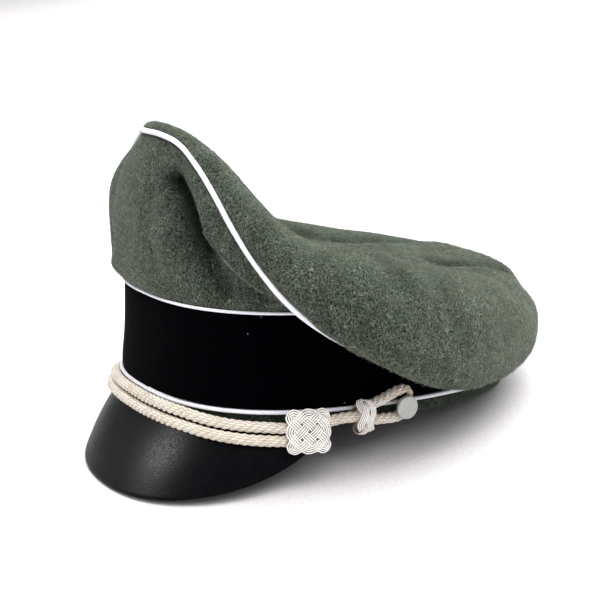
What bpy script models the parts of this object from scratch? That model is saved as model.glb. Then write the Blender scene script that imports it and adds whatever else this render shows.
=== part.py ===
# Soft peaked cap with a crushed wool crown, black velvet band, black peak and braided chin cord.
# The cap is shaped about its head band: out is measured outward from the band's oval and up is
# measured from the lower piping. The finished cap is then leaned back to rest on the peak's edge
# and the back of its rim, as it does on a table. The wearer's left is +X and the front is -Y.
import math

import bmesh
import bpy
from mathutils import Vector

MM = 0.001
STAND = "resting_cap"

# Head band, in millimetres
HALF_WIDTH = 85.5
HALF_LENGTH = 105.7
SQUARENESS = 2.55
BAND_HEIGHT = 49.5
BAND_WALL = 2.4
WELT_HEIGHT = 7.0
WELT_WALL = 2.0
WELT_OUT = -0.9
BAND_TOP_OUT = -1.9
CLEARANCE = 0.3
SPOKES = 48

# The velvet's bulge between the pipings, as out and up
BAND_BULGE = ((-0.1, 6.0), (-0.8, 13.0), (-1.6, 22.0), (BAND_TOP_OUT, 34.0))
BAND_FOOT_OUT = -0.4

# Pipings: radius of the cord in each seam and how far out it sits
LOWER_PIPING_RADIUS = 1.0
LOWER_PIPING_OUT = -0.5
UPPER_PIPING_RADIUS = 0.75
UPPER_PIPING_OUT = -2.1
CROWN_PIPING_RADIUS = 1.25
CROWN_PIPING_SEAT = 0.3

# Wool panels
CLOTH = 2.0
SIDE_ROWS = 8
TOP_ROWS = 12
TOP_ROW_CROWDING = 1.5
CENTRE_UP = 66.0
WELL_SHARE = 0.5
SECTION_STEPS = 12

# Crown sections from the front (0 degrees) round either side to the back (180 degrees)
CROWN_STATIONS = ("side", "seam", "low", "roll", "crest")
CROWN_COLUMNS = ("angle", "rise_out", "rise_up", "side_out", "side_up", "seam_out", "seam_up",
                 "low_out", "low_up", "roll_out", "roll_up", "crest_out", "crest_up", "well_up")
CROWN_ROWS = (
    (0, 0.7, 2.0, 6, 93, -4, 132, -5, 135, -9, 137, -18, 134, 92),
    (16, 0.7, 2.0, 6, 88, -7, 127, -9, 131, -14, 133, -22, 129, 91),
    (28, 0.7, 2.0, 6, 83, -2, 111, -4, 116, -8, 121, -17, 121, 89),
    (39, 0.7, 2.0, 4, 68, 8, 87, 8, 92, 5, 102, -4, 108, 82),
    (51, 0.7, 2.0, 6, 54, 18, 60, 21, 64, 23, 75, 14, 89, 75),
    (62, 0.7, 2.0, 10, 45, 21, 43, 27, 46, 32, 60, 19, 81, 70),
    (75, 0.7, 2.0, 14, 38, 20, 30, 31, 29, 38, 46, 21, 76, 67),
    (90, 0.7, 2.0, 14, 33, 20, 18, 30, 15, 37, 37, 20, 71, 66),
    (110, 1.0, 1.2, 12, 31, 17, 11, 26, 9, 31, 30, 15, 63, 65),
    (134, 1.2, 0.6, 9, 33, 8, 13, 15, 8, 21, 27, 9, 54, 63),
    (152, 1.2, 0.6, 7, 34, 5, 13, 12, 7, 16, 32, 4, 54, 61),
    (180, 1.2, 0.6, 7, 34, 5, 13, 12, 7, 16, 32, 4, 54, 61),
)

# Folds pressed into the wool: where each one starts and ends, as an angle and a share of the way
# up its panel, its half width in degrees and how deep it goes in (a ridge is negative)
FOLD_COLUMNS = ("panel", "start_angle", "start_share", "end_angle", "end_share", "half_width", "depth")
FOLD_ROWS = (
    ("side", 17, 0.85, 28, 0.45, 5, 8.0),
    ("side", 30, 0.38, 47, 0.28, 7, 7.0),
    ("side", -44, 0.60, -56, 0.35, 7, 5.0),
    ("side", -14, 0.86, -42, 0.84, 8, -4.0),
    ("side", -12, 0.14, -42, 0.14, 8, -3.0),
    ("top", 95, 0.62, 135, 0.55, 12, 4.5),
    ("top", 75, 0.35, 110, 0.42, 12, -3.0),
    ("top", -65, 0.62, -145, 0.60, 16, 9.0),
    ("top", -88, 0.38, -138, 0.33, 12, -3.5),
)
PANEL_HALF_WIDTHS = 6.0
FOLD_EASE_SIDE = 1.6
FOLD_EASE_TOP = 9.0

# Peak
PEAK_DEPTH = 48.0
PEAK_END_ANGLE = 62.5
PEAK_END_DEPTH = 1.5
PEAK_FRONT_SLOPE = 60.0
PEAK_SIDE_SLOPE = 72.0
PEAK_OUTLINE_POWER = 0.68
PEAK_BOW = 2.0
PEAK_WALL = 2.2
PEAK_COLUMNS = 36
PEAK_ROWS = 6

# Chin cord: each row is an angle, out and up, from the front centre to the wearer's left, and the
# right side mirrors them
CORD_RADIUS = 2.9
CORD_STEP = 10.0
LOOP_STEP = 3.5
ROUTE_STEPS = 10
UPPER_ROUTE = (
    (0, 2.9, -2.6), (14, 2.9, -2.7), (22, 2.8, -3.3), (30, 2.6, -5.0), (38, 2.6, -6.2),
    (46, 3.1, -6.6), (52, 4.2, -6.7), (57, 4.8, -6.0), (62, 4.2, -4.6), (67, 3.6, -3.5),
    (72.5, 4.3, -3.2),
)
LOWER_ROUTE = (
    (0, 4.4, -8.7), (14, 4.4, -8.9), (24, 4.8, -9.7), (32, 5.3, -11.1), (40, 5.7, -12.1),
    (48, 6.0, -12.6), (57, 6.6, -12.8),
)
LOOP_ROUTE = (
    (74.0, 5.0, 0.2), (76.5, 4.4, 1.9), (80.5, 3.8, 4.0), (84.0, 3.5, 5.8), (87.5, 3.3, 7.3),
    (90.2, 3.0, 7.2), (91.6, 2.8, 4.9), (91.9, 2.7, 1.6), (91.4, 2.7, -2.2), (89.8, 2.7, -5.2),
    (87.0, 3.0, -6.5), (84.0, 3.3, -6.6), (80.5, 3.5, -6.3), (77.0, 4.2, -6.1), (74.0, 5.0, -6.3),
)
LOOP_LEG_RADIUS = 2.8
LOOP_BACK_RADIUS = 1.6
LOOP_THIN_ANGLE = 91.2
LOOP_THICK_ANGLE = 88.0

# Slide knots: place on the band, size along the cord, height, thickness and lean
KNOT_COLUMNS = ("name", "angle", "out", "up", "length", "height", "thickness", "lean")
KNOTS = (
    ("large_knot", 57.0, 7.2, -7.6, 22.5, 22.0, 8.8, -12.0),
    ("small_knot", 73.8, 5.6, -3.2, 10.0, 16.5, 8.4, 0.0),
)
KNOT_CUTS = 3
KNOT_ROUNDNESS = 3.2

# Side buttons
BUTTON_ANGLE = 88.5
BUTTON_UP = -1.0
BUTTON_RADIUS = 6.1
BUTTON_BACK_OUT = 6.6
BUTTON_THICKNESS = 2.2
BUTTON_EDGE = 0.6
SHANK_RADIUS = 1.7
SHANK_FOOT_OUT = 0.9
BUTTON_SIDES = 24


def oval_radius(angle):
    across = abs(math.sin(math.radians(angle)) / HALF_WIDTH) ** SQUARENESS
    along = abs(math.cos(math.radians(angle)) / HALF_LENGTH) ** SQUARENESS
    return (across + along) ** (-1.0 / SQUARENESS)


def at_radius(angle, radius, up):
    turn = math.radians(angle)
    return Vector((radius * math.sin(turn), -radius * math.cos(turn), up)) * MM


def on_band(angle, out, up):
    return at_radius(angle, oval_radius(angle) + out, up)


def facing(angle):
    # The way the band's side faces at an angle, as a turn from the front
    along = on_band(angle + 1.0, 0.0, 0.0) - on_band(angle - 1.0, 0.0, 0.0)
    return math.atan2(along.y, along.x)


def spoke_angles():
    return [360.0 * i / SPOKES - 180.0 for i in range(SPOKES)]


def hermite(share, start, end, leave, arrive):
    square, cube = share ** 2, share ** 3
    return ((2 * cube - 3 * square + 1) * start + (cube - 2 * square + share) * leave
            + (3 * square - 2 * cube) * end + (cube - square) * arrive)


def read_row(rows, position):
    # A smooth curve through each column of a table whose first column is the position
    places = [row[0] for row in rows]
    i = max(k for k in range(len(rows) - 1) if places[k] <= position)

    def slope(k, column):
        # The table is mirrored about its first and last rows, so it runs level there
        if k in (0, len(rows) - 1):
            return 0.0
        before = (rows[k][column] - rows[k - 1][column]) / (places[k] - places[k - 1])
        after = (rows[k + 1][column] - rows[k][column]) / (places[k + 1] - places[k])
        return 0.5 * (before + after)

    span = places[i + 1] - places[i]
    share = (position - places[i]) / span
    return [hermite(share, rows[i][c], rows[i + 1][c], slope(i, c) * span, slope(i + 1, c) * span)
            for c in range(1, len(rows[0]))]


def curve_through(points, steps):
    # Centripetal curve through flat or solid points, which bulges evenly between uneven spacings
    ends = [2 * points[0] - points[1]] + list(points) + [2 * points[-1] - points[-2]]
    curve = []
    for i in range(1, len(ends) - 2):
        before, start, end, after = ends[i - 1:i + 3]
        gaps = [math.sqrt((b - a).length) + 1e-9 for a, b in ((before, start), (start, end), (end, after))]
        leave = ((start - before) / gaps[0] - (end - before) / (gaps[0] + gaps[1])
                 + (end - start) / gaps[1]) * gaps[1]
        arrive = ((end - start) / gaps[1] - (after - start) / (gaps[1] + gaps[2])
                  + (after - end) / gaps[2]) * gaps[1]
        curve += [hermite(k / steps, start, end, leave, arrive) for k in range(steps)]
    return curve + [points[-1]]


def along_curve(curve, distances):
    # Points at the given distances along a polyline
    lengths = [0.0]
    for a, b in zip(curve, curve[1:]):
        lengths.append(lengths[-1] + (b - a).length)
    points = []
    for distance in distances:
        i = max(k for k in range(len(curve) - 1) if lengths[k] <= max(distance, 0.0))
        share = (distance - lengths[i]) / max(lengths[i + 1] - lengths[i], 1e-9)
        points.append(curve[i].lerp(curve[i + 1], min(max(share, 0.0), 1.0)))
    return points


def curve_length(curve):
    return sum((b - a).length for a, b in zip(curve, curve[1:]))


def crown_section(angle):
    # The side panel's and the top panel's lines above one angle, as radius and height
    row = dict(zip(CROWN_COLUMNS[1:], read_row(CROWN_ROWS, abs(angle))))
    radius = oval_radius(angle)
    foot = Vector((radius + BAND_TOP_OUT, BAND_HEIGHT + UPPER_PIPING_RADIUS + CLEARANCE))
    points = [foot, foot + Vector((row["rise_out"], row["rise_up"]))]
    points += [Vector((radius + row[name + "_out"], row[name + "_up"])) for name in CROWN_STATIONS]
    points += [Vector((radius * WELL_SHARE, row["well_up"])), Vector((0.0, CENTRE_UP))]
    curve = curve_through(points, SECTION_STEPS)
    seam = 3 * SECTION_STEPS
    return curve[:seam + 1], curve[seam:]


def fold_depth(panel, angle, share):
    depth = 0.0
    for row in FOLD_ROWS:
        fold = dict(zip(FOLD_COLUMNS, row))
        if fold["panel"] != panel:
            continue
        # Measured in the fold's half widths, with a set number of them up the whole panel

        def place(at_angle, at_share):
            return Vector((at_angle / fold["half_width"], at_share * PANEL_HALF_WIDTHS))

        start = place(fold["start_angle"], fold["start_share"])
        run = place(fold["end_angle"], fold["end_share"]) - start
        here = place(angle, share) - start
        along = min(max(here.dot(run) / run.length_squared, 0.0), 1.0)
        depth += fold["depth"] * math.exp(-(here - run * along).length_squared)
    return depth


def seam_margin(angle, edge):
    # How far along the panel's line its edge stops short of the seam: the seam climbs round the
    # cap, so the piping's thickness is met at a slant there
    turn = 360.0 / SPOKES
    ends = [crown_section(angle + step)[0][-1] for step in (-turn, turn)]
    climb = at_radius(angle + turn, *ends[1]) - at_radius(angle - turn, *ends[0])
    inward = at_radius(angle, *edge[1]) - at_radius(angle, *edge[0])
    slant = climb.normalized().dot(inward.normalized())
    return (CROWN_PIPING_RADIUS + CLEARANCE) / math.sqrt(1.0 - slant * slant)


def panel_grid(panel):
    # Rows of points on the outer face of a wool panel, one column of them for each spoke
    grid = []
    for angle in spoke_angles():
        side, top = crown_section(angle)
        if panel == "side":
            reach = curve_length(side) - seam_margin(angle, side[-3:-1])
            shares = [i / SIDE_ROWS for i in range(SIDE_ROWS + 1)]
            line = along_curve(side, [reach * share for share in shares])
        else:
            margin = seam_margin(angle, top[1:3])
            reach = curve_length(top) - margin
            shares = [(i / TOP_ROWS) ** TOP_ROW_CROWDING for i in range(TOP_ROWS)]
            line = along_curve(top, [margin + reach * share for share in shares])
        column = []
        for i, (point, share) in enumerate(zip(line, shares)):
            ahead = line[min(i + 1, len(line) - 1)] - line[max(i - 1, 0)]
            outward = Vector((ahead.y, -ahead.x)).normalized()
            # Folds die away towards the seams
            edge = math.sin(math.pi * share) * FOLD_EASE_SIDE if panel == "side" else share * FOLD_EASE_TOP
            pressed = point - outward * fold_depth(panel, angle, share) * min(edge, 1.0)
            column.append(at_radius(angle, pressed.x, pressed.y))
        grid.append(column)
    return grid


def material(name, colour, roughness, metallic=0.0):
    shader = bpy.data.materials.new(name)
    shader.use_nodes = True
    surface = shader.node_tree.nodes["Principled BSDF"]
    surface.inputs["Base Color"].default_value = (*colour, 1.0)
    surface.inputs["Roughness"].default_value = roughness
    surface.inputs["Metallic"].default_value = metallic
    shader.diffuse_color = (*colour, 1.0)
    return shader


def add_object(name, data, finish):
    piece = bpy.data.objects.new(name, data)
    bpy.context.scene.collection.objects.link(piece)
    piece.parent = bpy.data.objects[STAND]
    if finish is not None:
        data.materials.append(finish)
    return piece


def smooth(mesh, sharpest=40.0):
    mesh.shade_smooth()
    mesh.set_sharp_from_angle(angle=math.radians(sharpest))


def mesh_from(name, points, faces):
    mesh = bpy.data.meshes.new(name)
    mesh.from_pydata(points, [], faces)
    work = bmesh.new()
    work.from_mesh(mesh)
    bmesh.ops.remove_doubles(work, verts=work.verts, dist=0.00001)
    bmesh.ops.recalc_face_normals(work, faces=work.faces)
    work.to_mesh(mesh)
    work.free()
    return mesh


def add_wall_modifier(piece, thickness):
    wall = piece.modifiers.new("wall", "SOLIDIFY")
    wall.thickness = thickness * MM
    wall.offset = -1.0
    wall.use_even_offset = True
    wall.use_quality_normals = True


def add_ring(name, profile, finish):
    # A closed outline of out and up, carried all round the band
    angles = spoke_angles()
    count = len(profile)
    points = [on_band(angle, out, up) for angle in angles for out, up in profile]
    faces = []
    for i in range(SPOKES):
        here, there = i * count, (i + 1) % SPOKES * count
        faces += [(here + j, there + j, there + (j + 1) % count, here + (j + 1) % count)
                  for j in range(count)]
    mesh = mesh_from(name, points, faces)
    smooth(mesh)
    return add_object(name, mesh, finish)


def add_panel(name, panel, finish):
    grid = panel_grid(panel)
    rows = len(grid[0])
    points = [point for column in grid for point in column]
    faces = []
    for i in range(SPOKES):
        here, there = i * rows, (i + 1) % SPOKES * rows
        faces += [(here + j, there + j, there + j + 1, here + j + 1) for j in range(rows - 1)]
    if panel == "top":
        points.append(Vector((0.0, 0.0, CENTRE_UP)) * MM)
        faces += [(i * rows + rows - 1, (i + 1) % SPOKES * rows + rows - 1, len(points) - 1)
                  for i in range(SPOKES)]
    mesh = bpy.data.meshes.new(name)
    mesh.from_pydata(points, [], faces)
    smooth(mesh, sharpest=70.0)
    piece = add_object(name, mesh, finish)
    add_wall_modifier(piece, CLOTH)
    return piece


def add_tube(name, points, radius, finish, closed=False, radii=None, sides=8):
    curve = bpy.data.curves.new(name, "CURVE")
    curve.dimensions = "3D"
    curve.bevel_depth = radius * MM
    curve.bevel_resolution = (sides - 4) // 2
    curve.use_fill_caps = True
    spline = curve.splines.new("POLY")
    spline.points.add(len(points) - 1)
    for i, point in enumerate(points):
        spline.points[i].co = (*point, 1.0)
        spline.points[i].radius = 1.0 if radii is None else radii[i] / radius
    spline.use_cyclic_u = closed
    spline.use_smooth = True
    return add_object(name, curve, finish)


def add_crown_piping(finish):
    points = []
    for angle in spoke_angles():
        side, top = crown_section(angle)
        seam = side[-1]
        ahead = (top[1] - side[-2]).normalized()
        outward = Vector((ahead.y, -ahead.x))
        centre = seam - outward * CROWN_PIPING_SEAT
        points.append(at_radius(angle, centre.x, centre.y))
    return add_tube("crown_piping", points, CROWN_PIPING_RADIUS, finish, closed=True)


def peak_depth(angle):
    swing = math.cos(math.radians(90.0 * min(abs(angle) / PEAK_END_ANGLE, 1.0)))
    return PEAK_END_DEPTH + (PEAK_DEPTH - PEAK_END_DEPTH) * swing ** PEAK_OUTLINE_POWER


def peak_point(angle, share):
    # The peak runs down and out from the rim along its slope, with a slight bow across it
    turned = (abs(angle) / PEAK_END_ANGLE) ** 2
    slope = math.radians(PEAK_FRONT_SLOPE + (PEAK_SIDE_SLOPE - PEAK_FRONT_SLOPE) * turned)
    run = peak_depth(angle) * share
    bow = PEAK_BOW * math.sin(math.pi * share) * peak_depth(angle) / PEAK_DEPTH
    out = WELT_OUT + run * math.cos(slope) + bow * math.sin(slope)
    up = -WELT_HEIGHT - CLEARANCE - run * math.sin(slope) + bow * math.cos(slope)
    return on_band(angle, out, up)


def add_peak(finish):
    angles = [PEAK_END_ANGLE * (2 * i / PEAK_COLUMNS - 1) for i in range(PEAK_COLUMNS + 1)]
    points = [peak_point(angle, j / PEAK_ROWS) for angle in angles for j in range(PEAK_ROWS + 1)]
    rows = PEAK_ROWS + 1
    faces = [(i * rows + j, i * rows + j + 1, (i + 1) * rows + j + 1, (i + 1) * rows + j)
             for i in range(PEAK_COLUMNS) for j in range(PEAK_ROWS)]
    mesh = bpy.data.meshes.new("peak")
    mesh.from_pydata(points, [], faces)
    smooth(mesh)
    piece = add_object("peak", mesh, finish)
    add_wall_modifier(piece, PEAK_WALL)
    return piece


def route_points(rows, side, step):
    # Points at even steps on the smooth curve through a route's rows
    knots = [on_band(side * angle, out, up) for angle, out, up in rows]
    curve = curve_through(knots, ROUTE_STEPS)
    length = curve_length(curve)
    count = max(2, round(length / (step * MM)))
    return along_curve(curve, [length * i / count for i in range(count + 1)])


def both_sides(rows):
    return [(-angle, out, up) for angle, out, up in reversed(rows[1:])] + list(rows)


def loop_radii(points):
    # The cord is drawn thin where it passes behind the button
    radii = []
    for point in points:
        angle = math.degrees(math.atan2(abs(point.x), -point.y))
        share = min(max((angle - LOOP_THICK_ANGLE) / (LOOP_THIN_ANGLE - LOOP_THICK_ANGLE), 0.0), 1.0)
        radii.append(LOOP_LEG_RADIUS + (LOOP_BACK_RADIUS - LOOP_LEG_RADIUS) * share)
    return radii


def side_name(side):
    return "left" if side > 0 else "right"


def cutter_along(name, points, radius, radii=None):
    # A cord's own shape, longer and fatter by the clearance, as a cutting tool
    longer = list(points)
    for end, next_to_it in ((0, 1), (-1, -2)):
        longer[end] = points[end] + (points[end] - points[next_to_it]).normalized() * CLEARANCE * MM
    tube = add_tube(name, longer, radius + CLEARANCE, None, radii=radii)
    bpy.context.view_layer.update()
    mesh = bpy.data.meshes.new_from_object(tube.evaluated_get(bpy.context.evaluated_depsgraph_get()))
    bpy.data.objects.remove(tube, do_unlink=True)
    cutter = add_object(name, mesh, None)
    cutter.hide_render = True
    cutter.display_type = "WIRE"
    return cutter


def add_knot(row, side, cutters, finish):
    knot = dict(zip(KNOT_COLUMNS, row))
    work = bmesh.new()
    bmesh.ops.create_cube(work, size=2.0)
    bmesh.ops.subdivide_edges(work, edges=work.edges[:], cuts=KNOT_CUTS, use_grid_fill=True)
    half = Vector((knot["length"], knot["thickness"], knot["height"])) * 0.5 * MM
    for corner in work.verts:
        # A rounded pillow: each point is drawn in to a squarish ball
        size = sum(abs(value) ** KNOT_ROUNDNESS for value in corner.co) ** (1.0 / KNOT_ROUNDNESS)
        corner.co = Vector([value / size * reach for value, reach in zip(corner.co, half)])
    mesh = bpy.data.meshes.new(knot["name"])
    work.to_mesh(mesh)
    work.free()
    smooth(mesh)
    piece = add_object("%s_%s" % (knot["name"], side_name(side)), mesh, finish)
    piece.location = on_band(side * knot["angle"], knot["out"], knot["up"])
    piece.rotation_euler = (math.radians(knot["lean"]), 0.0, facing(side * knot["angle"]))
    for cutter in cutters:
        tunnel = piece.modifiers.new("tunnel", "BOOLEAN")
        tunnel.operation = "DIFFERENCE"
        tunnel.object = cutter
    return piece


def add_button(side, finish):
    # Turned about its own shank, with a flat face and a rounded edge
    face = BUTTON_BACK_OUT + BUTTON_THICKNESS
    outline = [(0.0, SHANK_FOOT_OUT), (SHANK_RADIUS, SHANK_FOOT_OUT),
               (SHANK_RADIUS, BUTTON_BACK_OUT), (BUTTON_RADIUS - BUTTON_EDGE, BUTTON_BACK_OUT),
               (BUTTON_RADIUS, BUTTON_BACK_OUT + BUTTON_EDGE), (BUTTON_RADIUS, face - BUTTON_EDGE),
               (BUTTON_RADIUS - BUTTON_EDGE, face), (0.0, face)]
    work = bmesh.new()
    corners = [work.verts.new(Vector((radius, 0.0, height)) * MM) for radius, height in outline]
    edges = [work.edges.new(pair) for pair in zip(corners, corners[1:])]
    bmesh.ops.spin(work, geom=corners + edges, cent=(0, 0, 0), axis=(0, 0, 1),
                   angle=math.tau, steps=BUTTON_SIDES, use_duplicate=False)
    bmesh.ops.remove_doubles(work, verts=work.verts, dist=0.00001)
    bmesh.ops.recalc_face_normals(work, faces=work.faces)
    mesh = bpy.data.meshes.new("button")
    work.to_mesh(mesh)
    work.free()
    smooth(mesh, sharpest=30.0)
    piece = add_object("button_%s" % side_name(side), mesh, finish)
    piece.location = on_band(side * BUTTON_ANGLE, 0.0, BUTTON_UP)
    piece.rotation_euler = (math.radians(90), 0.0, facing(side * BUTTON_ANGLE))
    return piece


def lowest_after_tilt(points, tilt):
    return min(point.z * math.cos(tilt) - point.y * math.sin(tilt) for point in points)


def rest_on_rim_and_peak(stand, peak, welt):
    # Lean the cap back until the peak's edge and the back of the rim are equally low
    scene = bpy.context.evaluated_depsgraph_get()
    clouds = [[vertex.co.copy() for vertex in piece.evaluated_get(scene).data.vertices]
              for piece in (peak, welt)]
    low, high = 0.0, math.radians(25)
    for _ in range(40):
        tilt = 0.5 * (low + high)
        if lowest_after_tilt(clouds[0], tilt) < lowest_after_tilt(clouds[1], tilt):
            low = tilt
        else:
            high = tilt
    stand.rotation_euler = (-tilt, 0.0, 0.0)
    stand.location.z = -lowest_after_tilt(clouds[0] + clouds[1], tilt)


def centre_on_origin(stand, pieces):
    bpy.context.view_layer.update()
    scene = bpy.context.evaluated_depsgraph_get()
    reach = []
    for piece in pieces:
        mesh = piece.evaluated_get(scene).to_mesh()
        reach += [piece.matrix_world @ vertex.co for vertex in mesh.vertices]
        piece.evaluated_get(scene).to_mesh_clear()
    for axis in (0, 1):
        places = [point[axis] for point in reach]
        stand.location[axis] -= 0.5 * (min(places) + max(places))


def build():
    for old in list(bpy.data.objects):
        bpy.data.objects.remove(old, do_unlink=True)
    stand = bpy.data.objects.new(STAND, None)
    bpy.context.scene.collection.objects.link(stand)

    wool = material("grey_green_wool", (0.085, 0.110, 0.088), 0.95)
    velvet = material("black_velvet", (0.006, 0.006, 0.008), 0.95)
    piping = material("white_piping", (0.78, 0.78, 0.80), 0.70)
    leather = material("black_peak_leather", (0.020, 0.019, 0.022), 0.42)
    cord = material("cream_braid", (0.76, 0.70, 0.58), 0.75)
    metal = material("frosted_button", (0.55, 0.57, 0.53), 0.45, 0.3)

    low_gap = LOWER_PIPING_RADIUS + CLEARANCE
    top_gap = UPPER_PIPING_RADIUS + CLEARANCE
    band_outer = [(BAND_FOOT_OUT, low_gap), *BAND_BULGE, (BAND_TOP_OUT, BAND_HEIGHT - top_gap)]
    band_inner = BAND_TOP_OUT - BAND_WALL
    add_ring("band", band_outer + [(band_inner, BAND_HEIGHT - top_gap), (band_inner, low_gap)], velvet)
    welt = add_ring("band_welt", [(WELT_OUT, -WELT_HEIGHT), (WELT_OUT, -low_gap),
                                  (WELT_OUT - WELT_WALL, -low_gap),
                                  (WELT_OUT - WELT_WALL, -WELT_HEIGHT)], wool)
    pieces = [welt, bpy.data.objects["band"]]
    for name, radius, out, up in (
            ("lower_band_piping", LOWER_PIPING_RADIUS, LOWER_PIPING_OUT, 0.0),
            ("upper_band_piping", UPPER_PIPING_RADIUS, UPPER_PIPING_OUT, BAND_HEIGHT)):
        ring = [on_band(angle, out, up) for angle in spoke_angles()]
        pieces.append(add_tube(name, ring, radius, piping, closed=True, sides=6))
    pieces += [add_panel("side_panel", "side", wool), add_panel("top_panel", "top", wool),
               add_crown_piping(piping)]
    peak = add_peak(leather)
    pieces.append(peak)

    cutters = []
    for name, route in (("upper", UPPER_ROUTE), ("lower", LOWER_ROUTE)):
        line = route_points(both_sides(route), 1, CORD_STEP)
        pieces.append(add_tube("chin_cord_%s" % name, line, CORD_RADIUS, cord))
        cutters.append(cutter_along("%s_tunnel" % name, line, CORD_RADIUS))
    upper_cutter, lower_cutter = cutters
    for side in (1, -1):
        line = route_points(LOOP_ROUTE, side, LOOP_STEP)
        radii = loop_radii(line)
        loop = add_tube("button_loop_%s" % side_name(side), line, LOOP_LEG_RADIUS, cord, radii=radii)
        loop_cutter = cutter_along("loop_tunnel_%s" % side_name(side), line, LOOP_LEG_RADIUS,
                                   radii=[radius + CLEARANCE for radius in radii])
        large, small = KNOTS
        pieces += [loop, add_knot(large, side, (upper_cutter, lower_cutter), cord),
                   add_knot(small, side, (upper_cutter, loop_cutter), cord), add_button(side, metal)]

    bpy.context.view_layer.update()
    rest_on_rim_and_peak(stand, peak, welt)
    centre_on_origin(stand, pieces)
    bpy.context.view_layer.update()


build()
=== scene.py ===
# %% [markdown]
# # A soft peaked cap with a braided chin cord
# This lesson dresses a plain solid model of a cap: wool crown, velvet band, white pipings, leather
# peak, twisted cords, woven slide knots and frosted buttons. The solid model is loaded first and
# stays fixed. Each soft solid in it is then replaced by a finer piece with its own finish.

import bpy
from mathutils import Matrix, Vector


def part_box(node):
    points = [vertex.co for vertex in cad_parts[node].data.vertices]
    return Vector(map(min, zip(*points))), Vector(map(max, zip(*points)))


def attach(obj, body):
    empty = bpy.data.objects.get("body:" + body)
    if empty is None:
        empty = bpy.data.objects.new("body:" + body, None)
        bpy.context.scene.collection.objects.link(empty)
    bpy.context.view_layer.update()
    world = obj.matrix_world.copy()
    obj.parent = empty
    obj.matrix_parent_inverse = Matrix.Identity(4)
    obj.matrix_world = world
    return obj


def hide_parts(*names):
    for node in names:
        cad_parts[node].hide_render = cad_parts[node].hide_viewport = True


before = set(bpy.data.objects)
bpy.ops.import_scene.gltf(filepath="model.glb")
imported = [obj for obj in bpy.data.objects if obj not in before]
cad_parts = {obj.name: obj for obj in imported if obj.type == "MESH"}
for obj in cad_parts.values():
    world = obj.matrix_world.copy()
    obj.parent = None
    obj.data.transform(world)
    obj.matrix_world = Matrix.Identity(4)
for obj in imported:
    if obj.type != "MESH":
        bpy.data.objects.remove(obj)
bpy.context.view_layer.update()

# %% [markdown]
# ## The band's own frame
# Everything on a cap is placed about its head band: how far round it, how far out of it, and how
# high above the lower piping. The cap lies leaning back, so one matrix carries those places to
# the lying cap. Its middle is read from the lower piping's box, because that ring is even all round.

# %% Places round the band
import math
import random
from functools import partial

import bpy
from mathutils import Euler, Matrix, Vector, noise

MM = 0.001
HALF_WIDTH = 85.5
HALF_LENGTH = 105.7
SQUARENESS = 2.55
REST_TILT = 10.453

ring_low, ring_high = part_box("lower_band_piping")
rest = Matrix.Translation((ring_low + ring_high) / 2) @ Matrix.Rotation(math.radians(-REST_TILT), 4, "X")


def oval_radius(angle):
    across = abs(math.sin(math.radians(angle)) / HALF_WIDTH) ** SQUARENESS
    along = abs(math.cos(math.radians(angle)) / HALF_LENGTH) ** SQUARENESS
    return (across + along) ** (-1.0 / SQUARENESS)


def band_place(angle, out, up):
    # Millimetres in the band's frame
    radius = oval_radius(angle) + out
    turn = math.radians(angle)
    return Vector((radius * math.sin(turn), -radius * math.cos(turn), up))


def on_cap(angle, out, up):
    # Metres on the lying cap
    return rest @ (band_place(angle, out, up) * MM)


def facing(angle):
    # The way the band's side faces, as a turn from the front
    along = band_place(angle + 1.0, 0.0, 0.0) - band_place(angle - 1.0, 0.0, 0.0)
    return math.atan2(along.y, along.x)


print("front of the rim at", [round(1000 * v, 1) for v in on_cap(0, 0, 0)])

# %% [markdown]
# ## Small helpers
# An operator acts on whatever is selected, and the loaded nodes come in selected, so each helper
# clears the selection first. Colours are written as the hex values a painter picks on screen, and
# one function turns them to the linear values a shader works with.

# %% Selection and colour helpers


def select_only(piece):
    bpy.ops.object.select_all(action="DESELECT")
    piece.select_set(True)
    bpy.context.view_layer.objects.active = piece


def apply_all(piece):
    select_only(piece)
    for modifier in list(piece.modifiers):
        bpy.ops.object.modifier_apply(modifier=modifier.name)
    bpy.ops.object.transform_apply(location=True, rotation=True, scale=True)


def dress(piece, material, nodes):
    # The finished piece takes its finish, moves with the cap and stands for the solid nodes
    piece.data.materials.clear()
    piece.data.materials.append(material)
    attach(piece, "root")
    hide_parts(*nodes)
    if piece.type == "MESH":
        piece.data.calc_loop_triangles()
        print(piece.name, len(piece.data.loop_triangles), "triangles")


def linear(hex_colour):
    parts = [int(hex_colour[i:i + 2], 16) / 255 for i in (1, 3, 5)]
    return [c / 12.92 if c <= 0.04045 else ((c + 0.055) / 1.055) ** 2.4 for c in parts] + [1.0]


print("mid grey is", [round(c, 3) for c in linear("#808080")])

# %% [markdown]
# ## Camera
# A camera fitted to the band's two pipings sees the cap from its left front, a little above. The
# camera is placed about the band and then leaned back with it, which rolls it by about 8 degrees.

# %% Place the camera
CAMERA_TURN = 59.01
CAMERA_RISE = 12.71
CAMERA_ROLL = -1.07
CAMERA_DISTANCE = 771.8
CAMERA_RIGHT = -8.7
CAMERA_UP = 34.0
LENS = 82.89

turn, rise, roll = (math.radians(v) for v in (CAMERA_TURN, CAMERA_RISE, CAMERA_ROLL))
back = Vector((math.sin(turn) * math.cos(rise), -math.cos(turn) * math.cos(rise), math.sin(rise)))
right = Vector((math.cos(turn), math.sin(turn), 0.0))
above = back.cross(right)
stand = (right * CAMERA_RIGHT + above * CAMERA_UP + back * CAMERA_DISTANCE) * MM
rolled_right = right * math.cos(roll) - above * math.sin(roll)
rolled_above = right * math.sin(roll) + above * math.cos(roll)
camera_place = Matrix((rolled_right, rolled_above, back)).transposed().to_4x4()
camera_place.translation = stand

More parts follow.
